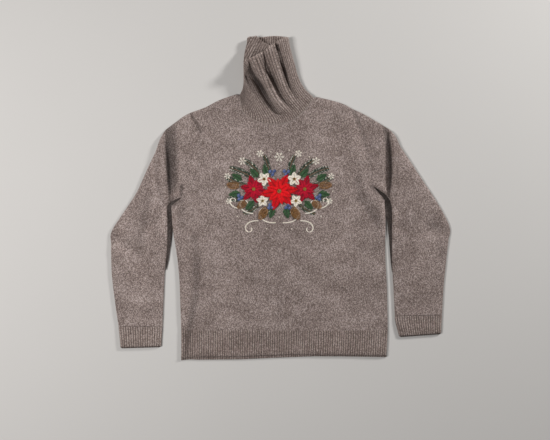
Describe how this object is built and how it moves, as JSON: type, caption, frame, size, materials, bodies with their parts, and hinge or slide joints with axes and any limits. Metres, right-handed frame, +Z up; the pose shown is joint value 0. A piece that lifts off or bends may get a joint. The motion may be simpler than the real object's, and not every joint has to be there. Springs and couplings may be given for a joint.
{
  "type": "christmas sweater",
  "caption": "Knitted pullover with a long ribbed polo neck, laid flat on its back, with long sleeves, ribbed hem and cuffs, and a winter design embroidered on the front.",
  "frame": {"origin": "middle of the bounding box in X and Y, on the surface that the garment lies on", "axes": "+X to the right of the laid garment as it is looked at from above (the wearer's left side), +Y from hem to neck, +Z up off the surface"},
  "size_m": [0.813, 0.776, 0.041],
  "materials": {
    "jersey": "marled grey-brown lambswool, plain knit, matt with a fine fuzz",
    "rib": "marled grey-brown lambswool, knit one purl one rib, matt"
  },
  "bodies": {
    "root": {"back": "jersey", "front": "jersey", "sleeve_left": "jersey", "sleeve_right": "jersey", "hem_rib_back": "rib", "hem_rib_front": "rib", "cuff_left": "rib", "cuff_right": "rib", "collar": "rib"}
  },
  "joints": []
}
